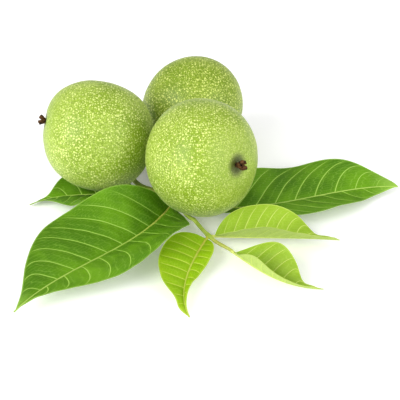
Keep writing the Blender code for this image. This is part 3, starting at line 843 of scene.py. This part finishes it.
def add_rachis(material):
    """A tube with a shallow groove on top, swollen at its foot and at each joint."""
    line, inside_twig = rachis_line(RACHIS_STEPS)
    line = np.vstack([inside_twig, (inside_twig + line[0]) / 2, line])
    wide, long = RACHIS_FOOT
    run = np.linspace(0, 1, len(line))
    radii = rachis_radii(line) * (1 + wide * np.exp(-(run / long) ** 2))
    for place in nodes[:3]:
        near = np.linalg.norm(line - place, axis=1)
        radii = radii + JOINT_SWELL * np.exp(-(near / JOINT_SPREAD) ** 2)
    top = round_turn(STEM_AROUND) - math.pi / 2
    groove = 1 - GROOVE_DEPTH * np.exp(-(top / GROOVE_WIDTH) ** 2)
    rachis = add_stem("rachis_stem", line, radii[:, None] * groove[None], material)
    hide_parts("rachis")


nodes = leaf_nodes()
leaf_stalk = stem_material("leaf_stalk", tint(158, 184, 58), tint(184, 202, 92),
                           tint(176, 158, 78))
add_rachis(leaf_stalk)


# ---------------------------------------------------------------- leaflets
# Seven thin leaflets with whole margins. The low and the big pair are full grown and deep
# green; the pair beyond them and the last leaflet are young and yellow-green. A pale
# midrib runs down each as a real rib, and the blade swells up between its side veins.

FOOT_HALF_WIDTH, FOOT_ROOM = 0.0006, 0.0007     # the latter between it and the rachis
LEAST_HALF_WIDTH = (0.00045, 0.00030)           # of a blade's skin, at its foot and its tip
BLADE_REST = 0.0003             # least height of a blade's middle surface
BLADE_ROOM = 0.0007             # least room between it and a nut
BLADE = 0.00036                 # thickness of the blade itself
SKIN_REST = 0.00003             # least height of its underside
VEIN_DEPTH = 0.00013            # how far a side vein is sunk above, and stands out below
VEIN_WIDTH = 0.00030            # half of a side vein's, in the relief
MIDRIB_GROOVE, MIDRIB_GROOVE_WIDTH = 0.00018, 0.00075
RIPPLE = 0.00010                # of a blade, in lumps 5 to 10 mm across
WAIST_SPREAD = 0.09             # share of a blade's length over which its waist fades
MIDRIB_STEPS = 240              # short steps that a midrib is added up from
ROWS_PER_VEIN = 20
ROW_CROWDING = 1.1              # above 1, a blade's rows stand closer at its foot
RIGHT_VEINS_LATE = 0.35         # of a space, by which the right half's side veins lag
LARGE_LEAFLET = 0.08            # the pairs below are for leaflets up to and over this
BLADE_COLUMNS, COLUMN_CROWDING = (42, 56), 1.35     # across each half
RIB_RADIUS, RIB_TIP_RADIUS = (0.00040, 0.00050), 0.00012
RIB_AROUND, RIB_LEAD = 20, 10   # points round a rib, and rings on its bare foot
NET_APART = 40                  # millimetres between the nets of the two halves


class Half(NamedTuple):
    """One side of a blade, from its midrib to its margin.

    reach is the greatest width, at a / (a + b) of the length, and belly is (a, b). lift
    is the angle above the level at the foot, the middle and the tip. wave is the height,
    the number and the phase of the waves along the margin. waist is where the blade
    narrows into its drawn-out tip: the share of its width lost, and the place.
    """

    reach: float
    belly: tuple
    lift: tuple
    wave: tuple
    waist: tuple = (0.0, 0.8)


class Age(NamedTuple):
    """What leaflets of one age share: slot (not used), bare foot of the midrib, and
    colours.
    """

    slot: str
    petiolule: float
    deep: tuple
    light: tuple
    vein: tuple
    underside: tuple
    rib_foot: tuple
    rib_tip: tuple


AGES = {
    "full_grown": Age("blade", 0.0012, tint(69, 117, 4), tint(102, 153, 11),
                      tint(166, 206, 88), tint(138, 168, 70),
                      tint(198, 192, 84), tint(172, 204, 88)),
    "young": Age("young_blade", 0.0004, tint(130, 174, 4), tint(154, 192, 16),
                 tint(196, 216, 82), tint(180, 202, 84),
                 tint(198, 194, 72), tint(192, 206, 82)),
    "youngest": Age("young_blade", 0.0004, tint(124, 160, 22), tint(148, 182, 44),
                    tint(194, 214, 100), tint(190, 208, 112),
                    tint(204, 210, 110), tint(206, 220, 120)),
}


class Leaflet(NamedTuple):
    """One leaflet: where it grows, its heading and pitch along the midrib, its halves.

    slants say how far the side veins reach forward on the right and on the left half,
    and puff is how far the blade swells up between them. seed is that of its ripples.
    """

    node: int
    length: float
    heading: tuple
    pitch: tuple
    left: Half
    right: Half
    side_veins: int
    slants: tuple
    puff: float
    age: str
    seed: int


LEAFLETS = {
    "low_left": Leaflet(
        0, 0.049, (193, 184, 225), (-7, 0, 0),
        Half(0.0175, (1.2, 1.0), (8, 19, 31), (0.0030, 1.5, -0.36), (0.5, 0.86)),
        Half(0.0185, (1.2, 2.1), (11, 5, 17), (0.0020, 1.5, 0.24), (0.5, 0.82)),
        8, (0.16, 0.22), 0.00022, "full_grown", 8),
    "low_right": Leaflet(
        0, 0.046, (46, 34, 22), (-4, 0, 2),
        Half(0.0115, (0.9, 1.5), (4, 8, 10), (0.0008, 1.5, 0.0)),
        Half(0.0115, (0.9, 1.5), (4, 8, 10), (0.0008, 1.5, 0.5)),
        8, (0.18, 0.18), 0.00018, "full_grown", 9),
    "big_left": Leaflet(
        1, 0.097, (249, 232, 245), (-8, 6, 0),
        Half(0.0256, (1.1, 1.9), (1, 24, -40), (0.0020, 2.0, -0.43), (0.3, 0.90)),
        Half(0.0255, (0.8, 1.3), (66, 21, 23), (-0.0030, 1.5, 0.66), (0.2, 0.93)),
        11, (0.23, 0.15), 0.00042, "full_grown", 8),
    "big_right": Leaflet(
        1, 0.091, (-25, 13, -1), (-8, 4, -1),
        Half(0.0188, (0.8, 0.8), (3, 22, 25), (0.0026, 2.0, -0.42), (0.2, 0.94)),
        Half(0.0178, (1.5, 1.4), (-15, 20, -35), (-0.0020, 2.0, 0.23), (0.2, 0.92)),
        11, (0.19, 0.25), 0.00030, "full_grown", 9),
    "young_left": Leaflet(
        2, 0.051, (250, 259, 288), (0, -2, 2),
        Half(0.0064, (0.7, 1.9), (2, 25, 58), (-0.0014, 1.5, 0.53)),
        Half(0.0127, (0.5, 1.1), (23, 24, 15), (0.0012, 1.5, 0.26), (0.4, 0.80)),
        11, (0.05, 0.06), 0.00022, "young", 10),
    "young_right": Leaflet(
        2, 0.049, (-4, -1, -7), (0, -1, 0),
        Half(0.0134, (0.7, 1.3), (41, 36, 29), (0.0010, 1.5, 0.37), (0.55, 0.82)),
        Half(0.0134, (0.7, 0.9), (46, 45, 48), (0.0011, 1.5, -0.34), (0.3, 0.86)),
        12, (0.14, 0.15), 0.00022, "youngest", 11),
    "terminal": Leaflet(
        3, 0.0407, (-48, -42, -8), (-6, 0, 5),
        Half(0.0120, (1.2, 1.7), (40, 45, 28), (0.0002, 1.5, -0.26), (0.55, 0.83)),
        Half(0.0109, (0.8, 0.9), (51, 53, 47), (0.0019, 1.5, -0.37), (0.35, 0.87)),
        8, (0.14, 0.16), 0.00016, "youngest", 8),
}


def through(u, start, middle, end):
    """The parabola that takes these three values at u = 0, 0.5 and 1."""
    return (start * (1 - u) * (1 - 2 * u) + middle * 4 * u * (1 - u)
            + end * u * (2 * u - 1))


def midrib_line(leaflet):
    """The midrib from its node, by adding up short steps along its heading and pitch."""
    fine = np.linspace(0, 1, MIDRIB_STEPS + 1)
    steps = direction(through(fine, *leaflet.heading), through(fine, *leaflet.pitch))
    path = np.cumsum((steps[1:] + steps[:-1]) / 2, axis=0) * leaflet.length / MIDRIB_STEPS
    return fine, nodes[leaflet.node] + np.vstack([np.zeros(3), path])


def blade_start(path):
    """The share of a midrib, from its node, that lies inside the rachis's own width."""
    rachis = rachis_line(PART_STEPS)[0]
    away = np.linalg.norm(path[:, None] - rachis[None], axis=-1)
    if np.linalg.norm(path[0] - rachis[-1]) < CLEARANCE:
        clear = away[:, -1] > FOOT_ROOM
    else:
        clear = (away > rachis_radii(rachis) + FOOT_HALF_WIDTH + FOOT_ROOM).all(axis=1)
    return np.argmax(clear) / (len(path) - 1)


def half_width(half, u):
    """The blade's reach from the midrib: u ^ a (1 - u) ^ b, scaled to peak at its reach.

    It is narrowed at the waist by 1 - share lost x exp(-(distance / spread) squared).
    """
    a, b = half.belly
    peak = a / (a + b)
    u = np.clip(u, 0, 1)
    lost, place = half.waist
    narrowed = 1 - lost * np.exp(-((u - place) / WAIST_SPREAD) ** 2)
    return half.reach * u ** a * (1 - u) ** b / (peak ** a * (1 - peak) ** b) * narrowed


def blade_surface(leaflet, w, v):
    """Middle surface of a blade at the share w of its length and v of its half width.

    v runs from -1 at the right margin to 1 at the left one. A point stands off the
    midrib by its reach along the lift angle, and by a wave that grows as v squared.
    """
    fine, path = midrib_line(leaflet)
    bare = blade_start(path) + AGES[leaflet.age].petiolule / leaflet.length
    u = bare + (1 - bare) * w
    midrib = np.stack([np.interp(u, fine, path[:, k]) for k in range(3)], axis=-1)
    heading = through(u, *leaflet.heading)
    across = direction(heading + 90)
    normal = np.cross(direction(heading, through(u, *leaflet.pitch)), across)
    least = LEAST_HALF_WIDTH[0] + (LEAST_HALF_WIDTH[1] - LEAST_HALF_WIDTH[0]) * u
    halves = []
    for half in (leaflet.left, leaflet.right):
        height, crests, phase = half.wave
        wave = height * np.sin(2 * math.pi * (crests * u + phase)) * np.sin(math.pi * u)
        halves.append((np.maximum(half_width(half, w), least),
                       through(u, *half.lift), wave))
    reach, lift, wave = (np.where(v > 0, *pair) for pair in zip(*halves))
    reach, lift = reach * v, np.radians(lift)
    rise = np.abs(reach) * np.sin(lift) + wave * v * v
    points = (midrib + across * (reach * np.cos(lift))[..., None]
              + normal * rise[..., None])
    points = press(points, BLADE_ROOM)
    points[..., 2] = np.maximum(points[..., 2], BLADE_REST)
    return points, np.abs(reach)


def two_sided_faces(rows, columns):
    """Faces of a closed blade: the top grid, the bottom grid after it, and the rim."""
    top = np.arange(rows * columns).reshape(rows, columns)
    quads = np.stack([top[:-1, :-1], top[1:, :-1], top[1:, 1:], top[:-1, 1:]],
                     axis=-1).reshape(-1, 4)
    rim = np.concatenate([top[0, :-1], top[:-1, -1], top[-1, :0:-1], top[:0:-1, 0]])
    after = np.roll(rim, -1)
    below = rows * columns
    sides = np.stack([rim, rim + below, after + below, after], axis=-1)
    return quads, quads[:, ::-1] + below, sides


def veins_group():
    """The look of a leaf's veins from distances that each blade carries, in millimetres.

    Side Vein is 1 on a side vein, Net is the finest net between them, and Height falls
    at both. Strength is 1 where the veins are thick and 0 where they have run out.
    """
    group, given, result = new_group(
        "leaf_veins", {"To Vein": "NodeSocketFloat", "Strength": "NodeSocketFloat",
                       "Blade": "NodeSocketVector", "Width": "NodeSocketFloat"},
        ("Side Vein", "Halo", "Net", "Height"))
    width = maths(group, "MULTIPLY", given["Width"],
                  maths(group, "MULTIPLY_ADD", given["Strength"], 0.6, 0.4))
    share = maths(group, "DIVIDE", given["To Vein"], width)
    vein = maths(group, "MULTIPLY", step(group, share, 1.0, 0.5),
                 step(group, given["Strength"], 0.0, 0.35))
    halo = step(group, share, 4.5, 0.8)
    moved = shaken(group, given["Blade"], 0.8, 0.5, 2.0)
    ladder = node(group, "ShaderNodeMapping", {"Vector": moved,
                                               "Scale": (0.95, 0.34, 1.0)})
    rungs = node(group, "ShaderNodeTexVoronoi",
                 {"Vector": ladder.outputs[0], "Scale": 1.0, "Randomness": 0.5},
                 voronoi_dimensions="2D", feature="DISTANCE_TO_EDGE")
    cells = node(group, "ShaderNodeTexVoronoi", {"Vector": moved, "Scale": 1.9},
                 voronoi_dimensions="2D", feature="DISTANCE_TO_EDGE")
    rung = step(group, rungs.outputs["Distance"], 0.085, 0.015)
    cell = step(group, cells.outputs["Distance"], 0.14, 0.02)
    net = maths(group, "MAXIMUM", rung, maths(group, "MULTIPLY", cell, 0.5))
    height = maths(group, "MULTIPLY_ADD", net, -0.35, maths(group, "MULTIPLY", vein, -1.0))
    for name, value in (("Side Vein", vein), ("Halo", halo), ("Net", net),
                        ("Height", height)):
        group.links.new(value, result[name])
    return group


veins = veins_group()


def blade_material(name, age):
    """A leaflet's skin: glossy green above and pale and dull below, with its veins.

    The attribute veins holds the distance to the nearest side vein, to the midrib and to
    the margin; fine holds the veins' strength, the side that faces down and the share
    along the blade. The map net is millimetres along and between the side veins.
    """
    material, tree, shader = new_material(f"blade_{name}", 0.42, Specular_IOR_Level=0.18)
    place = object_coordinates(tree)
    to_vein, to_midrib, to_margin = node(tree, "ShaderNodeSeparateXYZ", {
        0: attribute(tree, "veins", "Vector")}).outputs
    strength, below, share = node(tree, "ShaderNodeSeparateXYZ", {
        0: attribute(tree, "fine", "Vector")}).outputs
    pattern = node(tree, "ShaderNodeGroup",
                   {"To Vein": to_vein, "Strength": strength,
                    "Blade": attribute(tree, "net", "Vector"), "Width": 0.27},
                   node_tree=veins).outputs
    patches = step(tree, noise(tree, place, 55.0, 4.0), 0.34, 0.68)
    fine = noise(tree, place, 1500.0, 3.0)

    colour = layers(tree, mix(tree, patches, age.deep, age.light), (fine, 0.30, age.deep),
                    (pattern["Halo"], 0.28, age.light), (pattern["Net"], 0.24, age.vein),
                    (step(tree, to_midrib, 3.2, 0.3), 0.35, age.light),
                    (step(tree, share, 0.86, 1.0), 0.5, age.vein),
                    (pattern["Side Vein"], 0.95, age.vein),
                    (step(tree, to_margin, 0.55, 0.12), 0.6, age.vein))
    pale = layers(tree, age.underside, (fine, 0.5, age.light),
                  (pattern["Net"], 0.35, age.deep), (pattern["Side Vein"], 0.9, age.vein))
    faces_down = step(tree, below, 0.4, 0.6)
    colour = mix(tree, faces_down, colour, pale)

    gloss = maths(tree, "MULTIPLY_ADD", fine, 0.16, 0.34)
    roughness = maths(tree, "MULTIPLY_ADD", step(tree, faces_down, 0.0, 1.0), 0.2, gloss)
    relief = maths(tree, "MULTIPLY_ADD", fine, 0.25, pattern["Height"])
    link_shader(tree, shader, Base_Color=colour, Roughness=roughness,
                Normal=bump(tree, relief, 0.00012, 0.8))
    return material


def add_blade(name, leaflet, material):
    """One blade as a closed skin whose rows follow the side veins.

    Row t lies at the share s of the midrib, a little closer together by its foot, and
    reaches forward by its slant x (0.62 |v| + 0.38 |v| ^ 3) x sin(pi s ^ 0.7), so a side
    vein arches towards the tip along a row. Side veins are sunk above and stand out
    below, and between them the blade puffs up as the sine squared of the way across.
    """
    side_veins = leaflet.side_veins
    t = np.linspace(0, side_veins, side_veins * ROWS_PER_VEIN + 1)
    s = (t / side_veins) ** ROW_CROWDING
    columns = BLADE_COLUMNS[leaflet.length > LARGE_LEAFLET]
    half = np.linspace(0, 1, columns + 1) ** COLUMN_CROWDING
    v = np.concatenate([-half[:0:-1], half])
    on_right, on_left = leaflet.slants
    bend = np.where(v > 0, on_left, on_right) * (0.62 * np.abs(v) + 0.38 * np.abs(v) ** 3)
    w = s[:, None] + bend[None] * np.sin(math.pi * s ** 0.7)[:, None]
    points, reach = blade_surface(leaflet, w, np.broadcast_to(v[None], w.shape))
    normals = unit(np.cross(np.gradient(points, axis=0), np.gradient(points, axis=1)))
    normals *= np.sign(normals[..., 2].mean())

    phase = t[:, None] - np.where(v > 0, 0.0, RIGHT_VEINS_LATE)     # whole on a side vein
    whole = np.clip(np.round(phase), 1, side_veins - 1)
    per_vein = np.gradient(points, axis=0) * ROWS_PER_VEIN
    row_way = unit(np.gradient(points, axis=1))
    square = per_vein - (per_vein * row_way).sum(axis=-1)[..., None] * row_way
    spacing = np.linalg.norm(square, axis=-1)
    to_vein = np.abs(phase - whole) * spacing
    along_vein = np.abs(v)[None]
    at_ends = np.clip(np.minimum(5 * s, 4.5 * (1 - s) - 0.25), 0, 1)
    strength = (1 - along_vein ** 2.5) * at_ends[:, None]

    between = np.sin(math.pi * phase) ** 2
    swell = (leaflet.puff * between * np.sin(math.pi * along_vein ** 0.8)
             * strength ** 0.3)
    ripple = RIPPLE * waves(points, 0.005, 0.010, 20, leaflet.seed)
    sunk = np.exp(-(to_vein / VEIN_WIDTH) ** 2) * strength
    at_midrib = np.exp(-(reach / MIDRIB_GROOVE_WIDTH) ** 2)
    crest = swell + ripple * np.clip(reach / 0.002, 0, 1)
    thin = 1 - 0.55 * along_vein ** 12
    above = crest - VEIN_DEPTH * sunk - MIDRIB_GROOVE * at_midrib + BLADE / 2 * thin
    under = crest - 0.8 * VEIN_DEPTH * sunk - BLADE / 2 * thin
    top = points + normals * above[..., None]
    bottom = points + normals * under[..., None]
    bottom[..., 2] = np.maximum(bottom[..., 2], SKIN_REST)
    top[..., 2] = np.maximum(top[..., 2], SKIN_REST + 0.6 * BLADE)

    to_margin = (reach / np.maximum(along_vein, 1e-3)) * (1 - along_vein)
    distances = 1000 * np.stack([to_vein, reach, to_margin], axis=-1).reshape(-1, 3)
    net = 1000 * np.stack([reach, phase * np.median(spacing), 0 * reach], axis=-1)
    net[..., 0] += NET_APART * (v > 0)
    details = np.stack([strength, 0 * strength, w], axis=-1).reshape(-1, 3)
    blade = put_mesh(
        f"blade_{name}", np.vstack([top.reshape(-1, 3), bottom.reshape(-1, 3)]),
        two_sided_faces(*w.shape), material,
        {"veins": np.vstack([distances] * 2), "net": np.vstack([net.reshape(-1, 3)] * 2),
         "fine": np.vstack([details, details + [0.0, 1.0, 0.0]])})
    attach(blade, "root")
    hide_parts(f"leaflet_{name}")
    return points[:, len(v) // 2], normals[:, len(v) // 2]


def rib_material(name, foot, tip):
    """A midrib's skin: warm at its foot, greener towards its tip and finely mottled."""
    material, tree, shader = new_material(f"rib_{name}", 0.48)
    tone = noise(tree, object_coordinates(tree), 700.0, 4.0)
    colour = mix(tree, step(tree, attribute(tree, "share"), 0.0, 0.45), foot, tip)
    colour = layers(tree, colour, (tone, 0.4, mix(tree, 0.35, tip, tint(110, 140, 40))))
    link_shader(tree, shader, Base_Color=colour, Normal=bump(tree, tone, 0.00008))
    return material


def add_midrib(name, leaflet, line, normals, material):
    """A tapering rib from the rachis to the tip, let into the blade along its middle."""
    foot = nodes[leaflet.node]
    lead = np.linspace(0, 1, RIB_LEAD, endpoint=False)[:, None]
    path = np.vstack([foot + (line[0] - foot) * lead, line])
    share = np.concatenate([np.zeros(RIB_LEAD), np.linspace(0, 1, len(line))])
    thick = RIB_RADIUS[leaflet.length > LARGE_LEAFLET]
    radii = thick * (1 - share) ** 0.8 + RIB_TIP_RADIUS
    radii[:RIB_LEAD] *= 1 + 0.25 * (1 - lead[:, 0])
    raised = np.vstack([np.repeat(normals[:1], RIB_LEAD, axis=0), normals])
    path = path + raised * (BLADE / 2 - 0.62 * radii)[:, None]
    rib = add_stem(f"rib_{name}", path, radii[:, None], material, RIB_AROUND, {
        "share": np.concatenate([[0.0], np.repeat(share, RIB_AROUND), [1.0]])})


finishes = {name: (blade_material(name, age), rib_material(name, age.rib_foot, age.rib_tip))
            for name, age in AGES.items()}
for name, leaflet in LEAFLETS.items():
    blade_finish, rib_finish = finishes[leaflet.age]
    line, normals = add_blade(name, leaflet, blade_finish)
    add_midrib(name, leaflet, line, normals, rib_finish)
